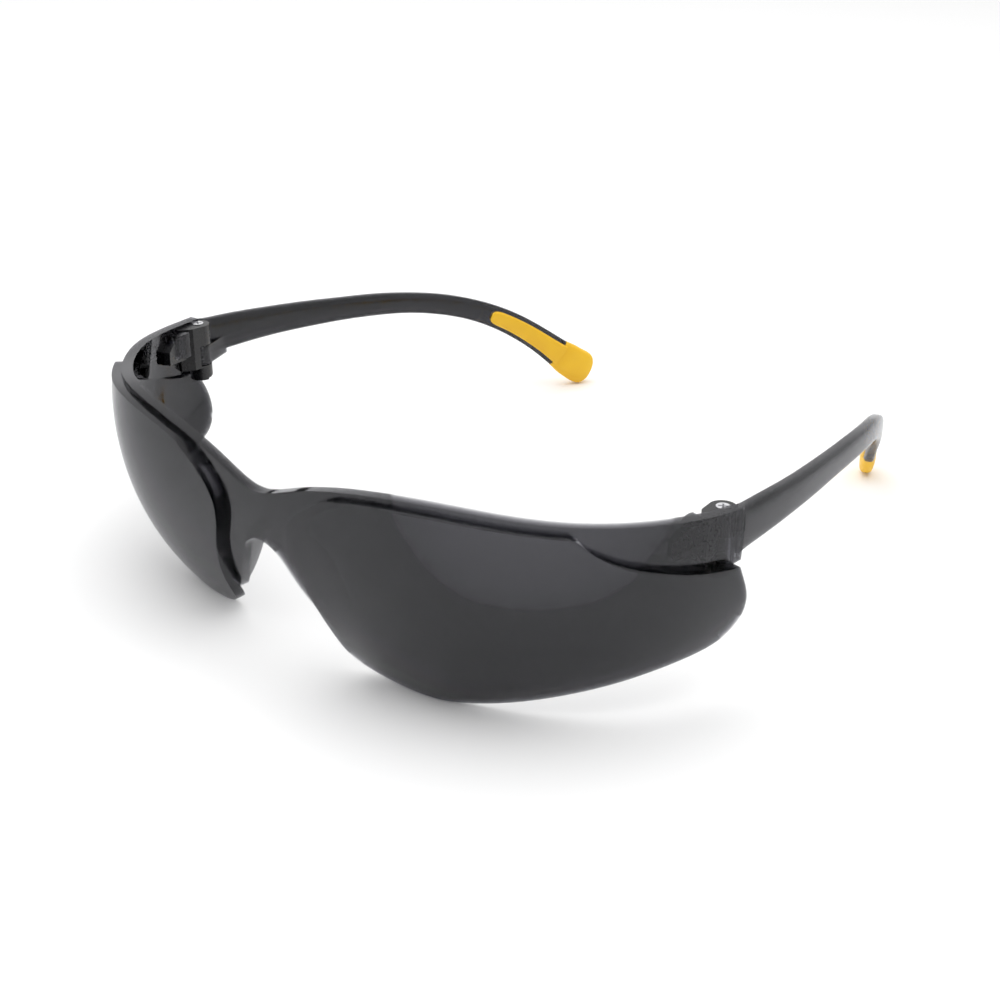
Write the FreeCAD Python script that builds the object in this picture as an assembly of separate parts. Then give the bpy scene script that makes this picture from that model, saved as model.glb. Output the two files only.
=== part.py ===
import FreeCAD, Part
import os
import math

# Wrap-around safety glasses: one smoke moulding for both panes, two folding arms.
# Millimetres.  +X the wearer's left, +Y towards the wearer, +Z up, the floor at z = 0.
# Lengths below are measured from the brow; everything is shifted at export so that
# the origin is the middle of the footprint.

MID_DEPTH = 79.87       # shift in y that brings the origin to the middle of the footprint
LIFT = 0.0              # shift in z that sets the lowest point on the floor

# --- front moulding -------------------------------------------------------------------
WALL = 2.2              # wall thickness of the moulding
STEP = 1.9              # how far each pane stands proud of the brow and the side strips
OVERLAP = 1.8           # how far the pane edges run over the strips behind them
EQUATOR = 33.1          # height at which the wrapped wall is steepest
WALL_RADIUS = 55.4      # upright radius of the wrapped wall
WALL_LEAN = 0.034       # lean of the wall, depth per height
PLAN_HEIGHT = 43.0      # height at which the plan curve is taken
PLAN = [(0, 4.0), (18.9, 4.3), (29.4, 5.1), (39.9, 7.7), (49.4, 13.1),
        (57.8, 20.2), (64.1, 27.8), (68.3, 35.8), (71.2, 45.0), (72.6, 54.0), (73.0, 66.0)]
# outlines are (distance along the plan curve, height)
BROW = [(0, 35.4), (8.5, 37.8), (19, 41.0), (29.5, 42.9), (40.3, 43.5), (51.3, 42.5),
        (62.3, 41.3), (72.2, 40.6), (81.3, 39.9), (95.0, 39.1)]
PANE_TOP = (19.7, 62.0)
PANE_DROP = 1.0         # how far the pane tops stop below the brow
NASAL = [(19.7, 40.2), (12.9, 35.6), (9.5, 31.0), (9.6, 26.4), (12.1, 19.7),
         (14.2, 12.9), (15.3, 7.2)]
BOTTOM = [(15.3, 7.2), (16.6, 4.2), (20.0, 1.9), (25.0, 0.6), (32.0, 0.0), (42.0, 1.2),
          (52.0, 3.2), (62.0, 5.9), (72.0, 8.6), (82.0, 10.8), (88.5, 11.9), (92.7, 13.3),
          (95.4, 16.2), (96.0, 20.0), (94.6, 24.6), (92.4, 29.3)]
SIDE_ARC = [(92.4, 29.3), (87.0, 30.0), (81.2, 31.2), (74.1, 33.4), (66.7, 36.6),
            (62.0, 40.3)]
NOSE = [(0, 25.2), (2.6, 24.6), (4.9, 22.6), (7.3, 18.4), (10.0, 14.0), (12.6, 10.2),
        (15.3, 7.2)]
BROW_BAND = 2.4         # height of the brow band behind the pane tops
SEAM_Y = 48.9           # rear end of the side strips
FLANGE = [(2.8, 5.2), (4.9, 6.6), (7.3, 6.4), (10.0, 5.2), (12.6, 3.2), (14.6, 1.6)]
FLANGE_WALL = 1.8
FLANGE_SPLAY = 0.32     # outward splay of the nose flanges, width per depth

# --- hinge ----------------------------------------------------------------------------
AXIS_X = 69.0
AXIS_Y = 47.7
KNUCKLE_RADIUS = 2.5
KNUCKLES = [(26.0, 29.4), (29.6, 33.8), (34.0, 38.6)]   # lower, middle (arm), upper
CLEARANCE = 2.85        # radius kept free around the middle knuckle
TONGUE = [(80.7, 32.5), (80.9, 35.4), (83.6, 37.2), (88.0, 38.2), (92.0, 38.3),
          (92.0, 31.2), (88.0, 31.7)]
TONGUE_DEPTH = 1.5
BOSS = [(82.0, -1.6), (83.6, -3.8), (85.6, -5.0), (87.2, -5.2), (87.2, -1.6)]
BOSS_HEIGHTS = (33.0, 38.4)
SCREW_RADIUS = 0.8
SCREW_HEAD = (1.25, 0.9, 0.15)      # radius, height, how far it stands proud
ARM_HOLE = 0.86

# --- arms -----------------------------------------------------------------------------
ROOT_GAP = 0.3
# x, y, z of the middle of the band, its height and its thickness
BAND = [(70.95, 49.2, 34.35, 8.9, 3.4), (70.8, 55.1, 34.2, 8.0, 3.4),
        (69.8, 70.1, 33.5, 6.7, 3.3), (67.2, 88.6, 32.1, 5.6, 3.2),
        (63.0, 109.3, 29.5, 5.1, 3.1), (57.5, 125.8, 24.9, 5.3, 3.0),
        (52.6, 137.3, 18.9, 6.1, 2.9), (48.2, 145.4, 12.5, 6.8, 2.8),
        (44.8, 151.6, 6.9, 8.2, 3.0), (42.0, 157.0, 3.05, 8.8, 3.0)]
SQUARE = 3.4            # how square the rounded section is: 2 an ellipse, more is squarer
RING_POINTS = 32        # points around a section
TIP_ROUND = 4.2         # length of the rounded end
TIP_START = 148.6       # y where the band ends and the rubber begins
CORE = (2.2, 4.0, 6.0)  # thickness, height and length of the core inside the rubber
INLAY_START = 131.0
INLAY_BORDER = 1.05     # band left above and below the inlay
INLAY_DEPTH = 1.1
INLAY_PROUD = 0.35


def vec(x, y, z):
    return FreeCAD.Vector(x, y, z)


def spline(points):
    curve = Part.BSplineCurve()
    curve.interpolate([vec(*p) for p in points])
    return curve.toShape()


def plan_edge():
    left = [(-x, y, 0) for x, y in reversed(PLAN[1:])]
    right = [(x, y, 0) for x, y in PLAN]
    return spline(left + right)


PLAN_EDGE = plan_edge()
HALF = PLAN_EDGE.Length / 2


def wall_point(q, z, off):
    """Point on the wrapped wall, off millimetres outside the brow surface."""
    p = PLAN_EDGE.getParameterByLength(HALF + q)
    c = PLAN_EDGE.valueAt(p)
    t = PLAN_EDGE.tangentAt(p)
    top = PLAN_HEIGHT - EQUATOR
    bulge = math.sqrt(WALL_RADIUS ** 2 - (z - EQUATOR) ** 2)
    bulge = bulge - math.sqrt(WALL_RADIUS ** 2 - top ** 2) + off
    return vec(c.x + t.y * bulge, c.y - t.x * bulge + WALL_LEAN * (PLAN_HEIGHT - z), z)


def q_at_depth(y, z):
    """Distance along the plan curve where the wall reaches depth y at height z."""
    lo = 60.0
    hi = HALF
    for _ in range(40):
        mid = (lo + hi) / 2
        if wall_point(mid, z, 0).y < y:
            lo = mid
        else:
            hi = mid
    return lo


def dense(points, spacing=1.5):
    """Smooth curve through (q, z) points, as closely spaced (q, z) points."""
    if len(points) == 2:
        edge = Part.makeLine(vec(points[0][0], points[0][1], 0),
                             vec(points[1][0], points[1][1], 0))
    else:
        edge = spline([(q, z, 0) for q, z in points])
    count = max(4, int(edge.Length / spacing))
    inner = [edge.getParameterByLength(edge.Length * i / count) for i in range(1, count)]
    params = [edge.FirstParameter] + inner + [edge.LastParameter]
    places = [edge.valueAt(p) for p in params]
    return [(p.x, p.y) for p in places]


def wall_surface(off, q_max, z_low, z_high):
    rows = []
    steps = int(q_max / 4) * 2
    levels = 14
    for i in range(steps + 1):
        q = -q_max + 2 * q_max * i / steps
        rows.append([wall_point(q, z_low + (z_high - z_low) * j / levels, off)
                     for j in range(levels + 1)])
    surface = Part.BSplineSurface()
    surface.interpolate(rows)
    return surface.toShape()


def slab(out_off, in_off, q_max, z_low, z_high):
    """Solid between two offsets of the wall."""
    outer = wall_surface(out_off, q_max, z_low, z_high)
    inner = wall_surface(in_off, q_max, z_low, z_high)
    sides = []
    for a in outer.Edges:
        mate = min(inner.Edges, key=lambda b: (b.CenterOfMass - a.CenterOfMass).Length)
        sides.append(Part.makeRuledSurface(a, mate))
    shell = Part.makeShell([outer, inner] + sides)
    shell.sewShape()
    solid = Part.makeSolid(shell)
    if solid.Volume < 0:
        solid.reverse()
    return solid


def curtain(curves, out_off, in_off):
    """Closed curtain through the outline, square to the wall."""
    faces = []
    for curve in curves:
        outer = spline([tuple(wall_point(q, z, out_off)) for q, z in curve])
        inner = spline([tuple(wall_point(q, z, in_off)) for q, z in curve])
        faces.append(Part.makeRuledSurface(outer, inner))
    shell = Part.makeShell(faces)
    shell.sewShape()
    return shell


def plate(curves, out_off, in_off, probe):
    """Piece of wall inside an outline given as smooth (q, z) curves end to end."""
    qs = [abs(q) for c in curves for q, z in c]
    zs = [z for c in curves for q, z in c]
    block = slab(out_off, in_off, max(qs) + 3, min(zs) - 3, max(zs) + 3)
    cutter = curtain([dense(c) for c in curves], out_off + 2, in_off - 2)
    pieces, _ = block.generalFuse([cutter])
    middle = wall_point(probe[0], probe[1], (out_off + in_off) / 2)
    for solid in pieces.Solids:
        if solid.isInside(middle, 1e-4, False):
            return solid
    raise ValueError("no piece of wall at the probe point")


def mirrored(points):
    return [(-q, z) for q, z in reversed(points)]


def right_half(points):
    """The q >= 0 half of a smooth curve drawn symmetrically about the middle."""
    both = dense(mirrored(points)[:-1] + points)
    middle = [z for q, z in both if abs(q) == min(abs(a) for a, _ in both)][0]
    return [(0.0, middle)] + [(q, z) for q, z in both if q > 0.5]


def flip(shape):
    return shape.mirror(vec(0, 0, 0), vec(1, 0, 0))


def brow_height(q):
    pts = [(-a, z) for a, z in reversed(BROW[1:])] + BROW
    edge = spline([(a, z, 0) for a, z in pts])
    lo = edge.FirstParameter
    hi = edge.LastParameter
    for _ in range(40):
        mid = (lo + hi) / 2
        if edge.valueAt(mid).x < q:
            lo = mid
        else:
            hi = mid
    return edge.valueAt(lo).y


def nose_flange():
    """Fin along one nose edge that turns back towards the wearer."""
    sections = []
    for q, depth in FLANGE:
        edge = spline([(a, z, 0) for a, z in NOSE])
        z = min((edge.valueAt(edge.getParameterByLength(edge.Length * i / 200.0))
                 for i in range(1, 200)), key=lambda p: abs(p.x - q)).y
        front = wall_point(q, z, -0.6)
        slope = (NOSE[-1][1] - NOSE[1][1]) / (NOSE[-1][0] - NOSE[1][0])
        away = vec(-slope, 0, 1)
        if q < 4:
            away = vec(0.9, 0, 1.3)
        away = away * (FLANGE_WALL / away.Length)
        back = vec(FLANGE_SPLAY * depth, depth, 0)
        corners = [front, front + back, front + back + away, front + away]
        sections.append(Part.makePolygon(corners + [corners[0]]))
    return Part.makeLoft(sections, True, False)


def hinge_cylinder(radius, low, high):
    return Part.makeCylinder(radius, high - low, vec(AXIS_X, AXIS_Y, low))


def boss():
    """Rounded thickening of the side strip in front of the hinge."""
    low, high = BOSS_HEIGHTS
    ring = [wall_point(q, (low + high) / 2, off) for q, off in BOSS]
    ring = [vec(p.x, p.y, low) for p in ring]
    front = Part.BSplineCurve()
    front.interpolate(ring[:-1])
    edges = [front.toShape(), Part.makeLine(ring[-2], ring[-1]),
             Part.makeLine(ring[-1], ring[0])]
    face = Part.Face(Part.Wire(edges))
    return face.extrude(vec(0, 0, high - low))


def moulding():
    """The whole front: panes, bridge, brow band, side strips and nose flanges."""
    first, last = PANE_TOP
    count = 12
    brow = [(first + (last - first) * i / count, 0) for i in range(count + 1)]
    brow = [(q, brow_height(q) - PANE_DROP) for q, _ in brow]
    nasal = [brow[0]] + NASAL[1:]
    arc = SIDE_ARC[:-1] + [brow[-1]]
    pane = plate([brow[::-1], nasal, BOTTOM, arc], STEP, STEP - WALL, (40, 20))

    # the strip behind: over the bridge, along the brow and down the sides
    end = q_at_depth(SEAM_Y + 3, 34)
    tops = [(q, z) for q, z in BROW if q < end - 1] + [(end, brow_height(end))]
    crest = right_half(tops)
    arch = right_half(NOSE)[::-1]
    low_side = [(end, 29.4), (92.4, 29.0), (87.0, 28.4), (81.2, 29.6), (74.1, 31.8),
                (68.2, 34.6), (63.4, brow_height(63.4) - BROW_BAND)]
    band = [(63.4 - (63.4 - 22.5) * i / 10, 0) for i in range(11)]
    band = [(q, brow_height(q) - BROW_BAND) for q, _ in band]
    under = [band[-1], (15.2, 35.4), (11.6, 30.9), (11.6, 26.6), (14.0, 20.0),
             (15.9, 13.4), (16.9, 8.4)]
    tip = [(16.9, 8.4), (15.3, 7.2)]
    outline = [crest, [(end, brow_height(end)), (end, 29.4)], low_side, band, under, tip,
               arch, [arch[-1], crest[0]]]
    return pane, outline


def band_edge():
    return spline([(x, y, z) for x, y, z, h, t in BAND])


BAND_EDGE = band_edge()


def band_place(s):
    """Middle, section axes, height and thickness of the arm s millimetres along it."""
    stations = [BAND_EDGE.Curve.parameter(vec(*row[:3])) for row in BAND]
    s = min(max(s, 1e-4), BAND_EDGE.Length - 1e-4)
    p = BAND_EDGE.getParameterByLength(s)
    k = 0
    while k < len(BAND) - 2 and p > stations[k + 1]:
        k = k + 1
    f = (p - stations[k]) / (stations[k + 1] - stations[k])
    height = BAND[k][3] + f * (BAND[k + 1][3] - BAND[k][3])
    thick = BAND[k][4] + f * (BAND[k + 1][4] - BAND[k][4])
    t = BAND_EDGE.tangentAt(p)
    w = vec(t.y, -t.x, 0).normalize()
    u = w.cross(t).normalize()
    return BAND_EDGE.valueAt(p), t, w, u, height, thick


def band_s(y):
    """Distance along the arm where its middle reaches depth y."""
    lo = 0.0
    hi = BAND_EDGE.Length
    for _ in range(40):
        mid = (lo + hi) / 2
        if band_place(mid)[0].y < y:
            lo = mid
        else:
            hi = mid
    return lo


def ring(mid, w, u, w_low, w_high, half, power):
    """Closed ring of points: a rectangle with generously rounded corners."""
    points = []
    centre = (w_low + w_high) / 2
    reach = (w_high - w_low) / 2
    for i in range(RING_POINTS):
        a = 2 * math.pi * i / RING_POINTS
        a = a - 0.75 * math.sin(4 * a) / 4
        c = math.cos(a)
        n = math.sin(a)
        x = math.copysign(abs(c) ** (2 / power), c)
        y = math.copysign(abs(n) ** (2 / power), n)
        points.append(mid + w * (centre + reach * x) + u * (half * y))
    return points + [points[0]]


def tube(rings):
    """Solid skinned over closed rings of points, flat at both ends."""
    surface = Part.BSplineSurface()
    surface.interpolate(rings)
    side = surface.toShape()
    caps = []
    for points in (rings[0], rings[-1]):
        edge = min(side.Edges, key=lambda e: sum(e.distToShape(Part.Vertex(q))[0]
                                                 for q in points[::4]))
        caps.append(Part.makeFilledFace([edge]))
    shell = Part.makeShell([side] + caps)
    shell.sewShape()
    solid = Part.makeSolid(shell)
    if solid.Volume < 0:
        solid.reverse()
    return solid


def band_rings(places, power=SQUARE):
    rings = []
    for s in places:
        mid, t, w, u, height, thick = band_place(s)
        rings.append(ring(mid, w, u, -thick / 2, thick / 2, height / 2, power))
    return rings


def arm_body():
    end = band_s(TIP_START)
    return tube(band_rings([end * i / 16 for i in range(17)]))


def arm_core():
    """Narrow end of the band, bonded inside the rubber."""
    thick, height, length = CORE
    start = band_s(TIP_START) - 0.5
    wires = []
    for i in range(4):
        mid, t, w, u, _, _ = band_place(start + (length + 0.5) * i / 3)
        wires.append(ring(mid, w, u, -thick / 2, thick / 2, height / 2, 2.5))
    return tube(wires)


def tip_body():
    """Paddle-shaped end of the arm."""
    start = band_s(TIP_START)
    end = BAND_EDGE.Length
    wires = []
    straight = end - TIP_ROUND
    places = [start, start + 1.0, start + 2.0, start + 3.0, (start + straight) / 2 + 1.5,
              straight]
    places = places + [straight + TIP_ROUND * f for f in (0.4, 0.7, 0.88, 0.985)]
    for s in places:
        mid, t, w, u, height, thick = band_place(s)
        f = max(0.0, (s - straight) / TIP_ROUND)
        side = (1 - f ** 2.6) ** (1 / 2.6)
        grow = 0.25 * min(1.0, (s - start) / 3.0)
        half_t = (thick / 2 + grow) * (0.45 + 0.55 * side)
        half_h = (height / 2 + grow) * max(side, 0.3)
        wires.append(ring(mid, w, u, -half_t, half_t, half_h, SQUARE))
    return tube(wires)


def inlay():
    """Rubber strip let into the inner face of the band."""
    start = band_s(INLAY_START)
    end = band_s(TIP_START) + 1.0
    wires = []
    rounding = (0.0, 0.5, 1.3, 2.6)
    shares = (0.45, 0.75, 0.92, 1.0)
    places = [(start + r, k) for r, k in zip(rounding, shares)]
    places = places + [(start + 2.6 + (end - start - 2.6) * i / 9, 1.0) for i in range(1, 10)]
    for s, k in places:
        mid, t, w, u, height, thick = band_place(s)
        half = (height / 2 - INLAY_BORDER) * k
        proud = INLAY_PROUD * (0.6 + 0.4 * k)
        wires.append(ring(mid, w, u, -thick / 2 - proud, -thick / 2 + INLAY_DEPTH,
                          half, SQUARE))
    return tube(wires)


def arm_knuckle():
    low, high = KNUCKLES[1]
    x = AXIS_X
    y = AXIS_Y
    web = [vec(x - 2.3, y + 0.6, low), vec(x - 1.9, y + 1.8, low), vec(x + 0.5, y + 8, low),
           vec(x + 1.6, y + 8, low), vec(x + 1.6, y + 1.0, low)]
    web = Part.Face(Part.makePolygon(web + [web[0]])).extrude(vec(0, 0, high - low))
    return hinge_cylinder(KNUCKLE_RADIUS, low, high).fuse(web)


def arm():
    body = arm_body()
    top = KNUCKLES[2][1]
    body = body.cut(hinge_cylinder(CLEARANCE, KNUCKLES[1][1], top + 5))
    body = body.cut(hinge_cylinder(CLEARANCE, KNUCKLES[0][0] - 5, KNUCKLES[1][0]))
    body = body.fuse(arm_knuckle())
    body = body.cut(hinge_cylinder(ARM_HOLE, KNUCKLES[1][0] - 1, KNUCKLES[1][1] + 1))
    body = body.cut(inlay())
    return body.fuse(arm_core())


def arm_tip():
    return tip_body().fuse(inlay()).cut(arm_core())


def hinge_block():
    """Black block: a tongue along the side strip, a lower and an upper knuckle."""
    tongue = plate([[a, b] for a, b in zip(TONGUE, TONGUE[1:] + TONGUE[:1])],
                   -WALL + 0.3, -WALL - TONGUE_DEPTH, (86, 34.5))
    x = AXIS_X
    y = AXIS_Y
    low = KNUCKLES[0][0]
    high = KNUCKLES[2][1]
    neck = [vec(x - 2.5, y, low), vec(x - 2.2, y - 3.2, low), vec(x - 0.6, y - 5.8, low),
            vec(x + 1.0, y - 5.8, low), vec(x + 1.0, y, low)]
    neck = Part.Face(Part.makePolygon(neck + [neck[0]])).extrude(vec(0, 0, high - low))
    lower = hinge_cylinder(KNUCKLE_RADIUS, low, KNUCKLES[0][1])
    lower = lower.makeFillet(0.8, [e for e in lower.Edges if e.CenterOfMass.z < low + 0.1
                                   and e.Closed])
    upper = hinge_cylinder(KNUCKLE_RADIUS, KNUCKLES[2][0], high)
    block = neck.fuse(tongue)
    block = block.cut(hinge_cylinder(CLEARANCE, KNUCKLES[0][1], KNUCKLES[2][0]))
    keep = Part.makeBox(20, 20, high - 29.0, vec(x - 10, y - 20, 29.0))
    front = block.common(keep)
    webs = block.cut(keep).common(hinge_cylinder(KNUCKLE_RADIUS, low, 29.0))
    block = front.fuse(lower).fuse(upper)
    if webs.Volume > 0.01:
        block = block.fuse(webs)
    return block.cut(screw_tool()).removeSplitter()


def screw_tool():
    """Everything the screw fills."""
    radius, height, proud = SCREW_HEAD
    top = KNUCKLES[2][1] + proud
    head = Part.makeCone(SCREW_RADIUS, radius, height, vec(AXIS_X, AXIS_Y, top - height - 0.3))
    cap = Part.makeCylinder(radius, 0.3, vec(AXIS_X, AXIS_Y, top - 0.3))
    shaft = hinge_cylinder(SCREW_RADIUS, KNUCKLES[0][0] + 0.5, top - 0.5)
    return shaft.fuse(head).fuse(cap).removeSplitter()


def hinge_screw():
    top = KNUCKLES[2][1] + SCREW_HEAD[2]
    body = screw_tool()
    for angle in (0, 90):
        slot = Part.makeBox(1.7, 0.32, 0.6, vec(-0.85, -0.16, top - 0.45))
        slot.rotate(vec(0, 0, 0), vec(0, 0, 1), angle + 30)
        slot.translate(vec(AXIS_X, AXIS_Y, 0))
        body = body.cut(slot)
    return body


def front(block):
    """Panes fused onto the strip behind them, with flanges, bosses and hinge pockets."""
    pane, outline = moulding()
    strip = plate(outline, 0, -WALL, (4, 31))
    behind = Part.makeBox(200, 60, 80, vec(-100, SEAM_Y, -10))
    half = strip.cut(behind)
    for side in (pane, nose_flange(), boss()):
        half = half.fuse(side)
    pocket = block.fuse(hinge_cylinder(CLEARANCE, KNUCKLES[0][1], KNUCKLES[2][0]))
    half = half.cut(pocket.fuse(screw_tool()))
    half = half.cut(Part.makeBox(30, 60, 80, vec(-30, -20, -10)))
    return half.fuse(flip(half)).removeSplitter()


def export(name, shape):
    shape = shape.copy()
    shape.translate(vec(0, -MID_DEPTH, LIFT))
    solids = shape.Solids
    if len(solids) == 1:
        shape = solids[0]
    shape.exportStep("parts/" + name + ".step")
    box = shape.optimalBoundingBox()
    print(name, len(solids), shape.isValid(), round(shape.Volume, 1), box)


def build():
    os.makedirs("parts", exist_ok=True)
    block = hinge_block()
    pieces = {"hinge_block": block, "hinge_screw": hinge_screw(), "temple": arm(),
              "temple_tip": arm_tip()}
    for name, shape in pieces.items():
        export("left_" + name, shape)
        export("right_" + name, flip(shape))
    export("lens", front(block))


build()
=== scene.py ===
import math

import bpy
from mathutils import Matrix, Vector

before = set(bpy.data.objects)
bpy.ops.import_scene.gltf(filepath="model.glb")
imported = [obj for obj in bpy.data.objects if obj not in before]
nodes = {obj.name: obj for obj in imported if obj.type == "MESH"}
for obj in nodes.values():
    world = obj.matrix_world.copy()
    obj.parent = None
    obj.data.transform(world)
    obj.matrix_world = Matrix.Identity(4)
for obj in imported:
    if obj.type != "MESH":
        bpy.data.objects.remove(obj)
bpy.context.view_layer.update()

# --- driving values: metres, degrees, linear colours ------------------------------------
SIDES = ("left", "right")

SMOKE = (0.06, 0.06, 0.10)      # tint of the polycarbonate in depth
SMOKE_DENSITY = 1500.0          # absorption per metre: 2.2 mm lets about a twentieth through
SMEAR = 0.06                    # how much rougher a smeared place is
POLISH = {"lens": 0.03, "arm": 0.12}
SHEEN = (0.96, 0.96, 1.0)       # colour of the surface reflection
SHEEN_LIMIT = 0.75              # share of light reflected at a grazing angle
GLANCE = 0.37                   # layer-weight blend that matches an index of about 1.59

NYLON_BLACK = (0.008, 0.008, 0.009)
NYLON_ROUGHNESS = 0.3
RUBBER_YELLOW = (0.92, 0.545, 0.008)
RUBBER_SHADE = (0.9, 0.84, 1.0)     # how the darker blotches differ
RUBBER_ROUGHNESS = 0.5
STEEL_GREY = (0.78, 0.78, 0.80)
FLOOR_WHITE = (0.93, 0.93, 0.93)
FLOOR_HALF = 3.0
FLOOR_ROUGHNESS = 0.9

ROOM_TOWARDS = (0.62, -0.74, 0.18)  # the darker side of the room
ROOM_EDGE = (0.5, 0.75)             # where white turns to dark, as a cosine
ROOM_DARK = 0.05

LAMP_PLACE = (0.0, -0.25, 1.0)
LAMP_TARGET = (0, -0.05, 0)
LAMP_SIZE = (1.4, 1.4)
LAMP_POWER = 9.0

VIEW_AZIMUTH = 40.41
VIEW_HEIGHT = 26.32
VIEW_ROLL = 0.57
VIEW_TARGET = (-0.07156, 0.15402 - 0.07987, -0.04711)
VIEW_DISTANCE = 0.44557
SENSOR = 36.0                   # millimetres
FOCAL = 54.04                   # millimetres
SHIFT = (0.0027, 0.0074)


# --- shader helpers ---------------------------------------------------------------------
def new_material(name):
    material = bpy.data.materials.new(name)
    material.use_nodes = True
    tree = material.node_tree
    bsdf = tree.nodes["Principled BSDF"]
    return material, tree, bsdf


def link(tree, a, out, b, into):
    tree.links.new(a.outputs[out], b.inputs[into])


def noise(tree, scale, detail, coords):
    node = tree.nodes.new("ShaderNodeTexNoise")
    node.inputs["Scale"].default_value = scale
    node.inputs["Detail"].default_value = detail
    link(tree, coords, "Object", node, "Vector")
    return node


def ramp(tree, source, out, low, high, a, b):
    """source, mapped from low..high to a..b."""
    node = tree.nodes.new("ShaderNodeMapRange")
    node.inputs["From Min"].default_value = low
    node.inputs["From Max"].default_value = high
    node.inputs["To Min"].default_value = a
    node.inputs["To Max"].default_value = b
    link(tree, source, out, node, "Value")
    return node


def bump(tree, height, out, strength, distance, bsdf):
    node = tree.nodes.new("ShaderNodeBump")
    node.inputs["Strength"].default_value = strength
    node.inputs["Distance"].default_value = distance
    link(tree, height, out, node, "Height")
    link(tree, node, "Normal", bsdf, "Normal")


# --- materials --------------------------------------------------------------------------
def smoke(name, rough):
    """Polished tinted polycarbonate: clear surfaces with faint smears, dark by depth."""
    material, tree, bsdf = new_material(name)
    out = tree.nodes["Material Output"]
    coords = tree.nodes.new("ShaderNodeTexCoord")
    smears = noise(tree, 55.0, 3.0, coords)
    rough_map = ramp(tree, smears, "Fac", 0.45, 0.75, rough, rough + SMEAR)
    link(tree, rough_map, "Result", bsdf, "Roughness")
    bsdf.inputs["Base Color"].default_value = SHEEN + (1,)
    bsdf.inputs["Metallic"].default_value = 1.0
    clear = tree.nodes.new("ShaderNodeBsdfTransparent")
    weight = tree.nodes.new("ShaderNodeLayerWeight")
    weight.inputs["Blend"].default_value = GLANCE
    share = ramp(tree, weight, "Fresnel", 0.0, 1.0, 0.0, SHEEN_LIMIT)
    mix = tree.nodes.new("ShaderNodeMixShader")
    link(tree, share, "Result", mix, "Fac")
    tree.links.new(clear.outputs["BSDF"], mix.inputs[1])
    tree.links.new(bsdf.outputs["BSDF"], mix.inputs[2])
    link(tree, mix, "Shader", out, "Surface")
    depth = tree.nodes.new("ShaderNodeVolumeAbsorption")
    depth.inputs["Color"].default_value = SMOKE + (1,)
    depth.inputs["Density"].default_value = SMOKE_DENSITY
    link(tree, depth, "Volume", out, "Volume")
    return material


def nylon(name):
    """Moulded black nylon with a fine grain."""
    material, tree, bsdf = new_material(name)
    coords = tree.nodes.new("ShaderNodeTexCoord")
    grain = noise(tree, 1500.0, 2.0, coords)
    low = NYLON_ROUGHNESS - 0.06
    high = NYLON_ROUGHNESS + 0.06
    rough_map = ramp(tree, grain, "Fac", 0.3, 0.7, low, high)
    link(tree, rough_map, "Result", bsdf, "Roughness")
    bump(tree, grain, "Fac", 0.15, 0.00005, bsdf)
    bsdf.inputs["Base Color"].default_value = NYLON_BLACK + (1,)
    return material


def rubber(name):
    """Soft matte rubber, a little uneven in colour."""
    material, tree, bsdf = new_material(name)
    coords = tree.nodes.new("ShaderNodeTexCoord")
    grain = noise(tree, 2600.0, 2.0, coords)
    blotch = noise(tree, 90.0, 2.0, coords)
    darker = tuple(c * k for c, k in zip(RUBBER_YELLOW, RUBBER_SHADE))
    mix = tree.nodes.new("ShaderNodeMix")
    mix.data_type = "RGBA"
    mix.inputs["A"].default_value = RUBBER_YELLOW + (1,)
    mix.inputs["B"].default_value = darker + (1,)
    share = ramp(tree, blotch, "Fac", 0.35, 0.7, 0.0, 1.0)
    link(tree, share, "Result", mix, "Factor")
    link(tree, mix, "Result", bsdf, "Base Color")
    bump(tree, grain, "Fac", 0.25, 0.00006, bsdf)
    bsdf.inputs["Roughness"].default_value = RUBBER_ROUGHNESS
    return material


def steel(name):
    """Turned steel with uneven polish."""
    material, tree, bsdf = new_material(name)
    coords = tree.nodes.new("ShaderNodeTexCoord")
    lines = noise(tree, 1800.0, 2.0, coords)
    rough_map = ramp(tree, lines, "Fac", 0.3, 0.7, 0.18, 0.32)
    link(tree, rough_map, "Result", bsdf, "Roughness")
    bsdf.inputs["Base Color"].default_value = STEEL_GREY + (1,)
    bsdf.inputs["Metallic"].default_value = 1.0
    return material


def dress(name, material):
    piece = nodes[name]
    piece.data.materials.clear()
    piece.data.materials.append(material)


def dress_all():
    """Every piece keeps its CAD mesh; the two sides share their materials."""
    lens = smoke("smoke_lens", POLISH["lens"])
    side_materials = {
        "_temple": smoke("smoke_arm", POLISH["arm"]),
        "_hinge_block": nylon("hinge_nylon"),
        "_hinge_screw": steel("screw_steel"),
        "_temple_tip": rubber("tip_rubber"),
    }
    dress("lens", lens)
    for side in SIDES:
        for ending, material in side_materials.items():
            dress(side + ending, material)


# --- setting, light and camera ----------------------------------------------------------
def lay_floor():
    mesh = bpy.data.meshes.new("floor")
    half = FLOOR_HALF
    corners = [(-half, -half, 0), (half, -half, 0), (half, half, 0), (-half, half, 0)]
    mesh.from_pydata(corners, [], [(0, 1, 2, 3)])
    floor = bpy.data.objects.new("floor", mesh)
    bpy.context.collection.objects.link(floor)
    material, tree, bsdf = new_material("floor_white")
    bsdf.inputs["Base Color"].default_value = FLOOR_WHITE + (1,)
    bsdf.inputs["Roughness"].default_value = FLOOR_ROUGHNESS
    floor.data.materials.append(material)


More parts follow.
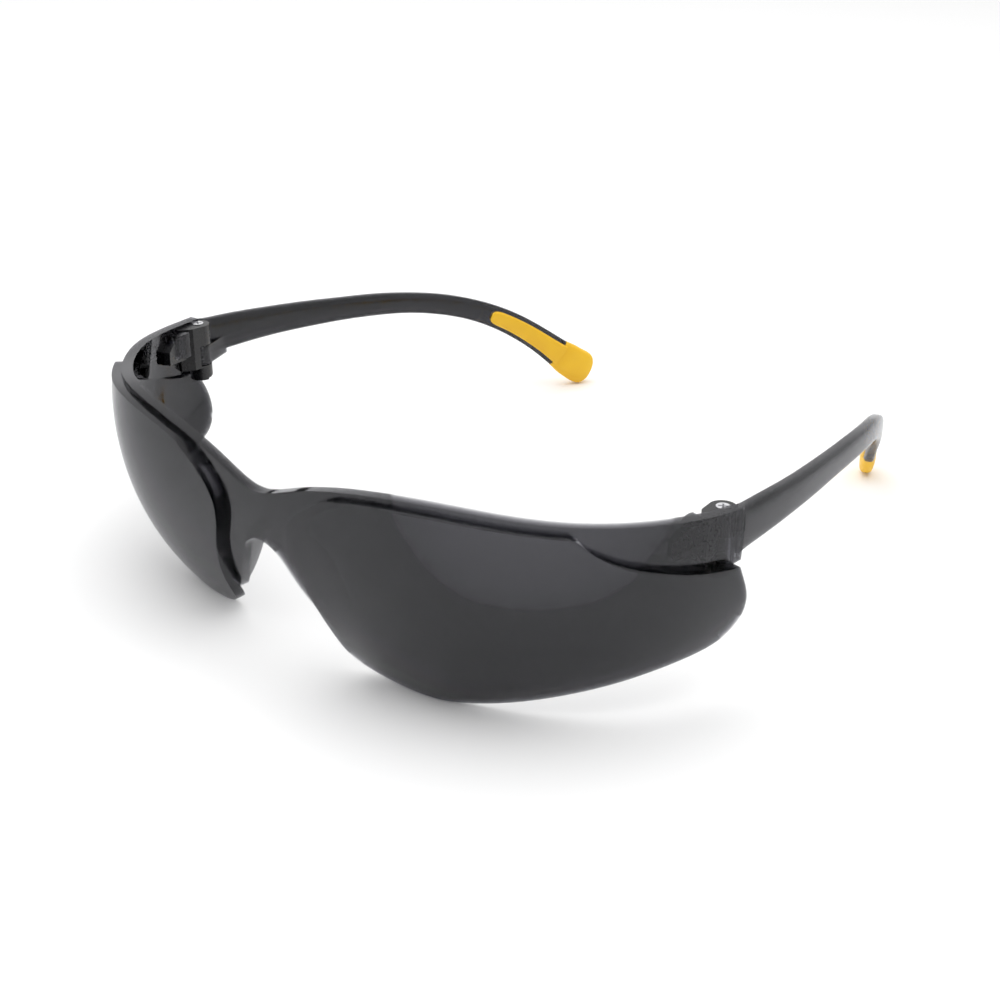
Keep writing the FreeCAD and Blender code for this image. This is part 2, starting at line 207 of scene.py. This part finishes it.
def surround():
    """White all round, with one darker side for the lens to reflect."""
    world = bpy.data.worlds.new("studio")
    bpy.context.scene.world = world
    world.use_nodes = True
    tree = world.node_tree
    background = tree.nodes["Background"]
    coords = tree.nodes.new("ShaderNodeTexCoord")
    toward = tree.nodes.new("ShaderNodeVectorMath")
    toward.operation = "DOT_PRODUCT"
    toward.inputs[1].default_value = ROOM_TOWARDS
    link(tree, coords, "Generated", toward, 0)
    room = ramp(tree, toward, "Value", ROOM_EDGE[0], ROOM_EDGE[1], 1.0, ROOM_DARK)
    link(tree, room, "Result", background, "Strength")
    background.inputs["Color"].default_value = (1, 1, 1, 1)


def lamp():
    """One broad soft light above the lens."""
    data = bpy.data.lights.new("top", "AREA")
    data.shape = "RECTANGLE"
    data.size, data.size_y = LAMP_SIZE
    data.energy = LAMP_POWER
    light = bpy.data.objects.new("top", data)
    light.location = LAMP_PLACE
    aim = Vector(LAMP_TARGET) - Vector(LAMP_PLACE)
    light.rotation_euler = aim.to_track_quat("-Z", "Y").to_euler()
    bpy.context.collection.objects.link(light)


def camera():
    """From the wearer's front left, a little above."""
    azimuth = math.radians(VIEW_AZIMUTH)
    height = math.radians(VIEW_HEIGHT)
    roll = math.radians(VIEW_ROLL)
    back = Vector((math.sin(azimuth) * math.cos(height), -math.cos(azimuth) * math.cos(height),
                   math.sin(height)))
    right = Vector((math.cos(azimuth), math.sin(azimuth), 0))
    up = back.cross(right)
    right_rolled = right * math.cos(roll) + up * math.sin(roll)
    up_rolled = up * math.cos(roll) - right * math.sin(roll)
    place = Vector(VIEW_TARGET) + back * VIEW_DISTANCE
    data = bpy.data.cameras.new("camera")
    data.sensor_width = SENSOR
    data.lens = FOCAL
    data.shift_x, data.shift_y = SHIFT
    data.clip_start = 0.01
    data.clip_end = 20.0
    eye = bpy.data.objects.new("camera", data)
    turn = Matrix((right_rolled, up_rolled, back)).transposed().to_4x4()
    eye.matrix_world = Matrix.Translation(place) @ turn
    bpy.context.collection.objects.link(eye)
    bpy.context.scene.camera = eye


dress_all()
lay_floor()
surround()
lamp()
camera()
bpy.context.scene.view_settings.view_transform = "Standard"
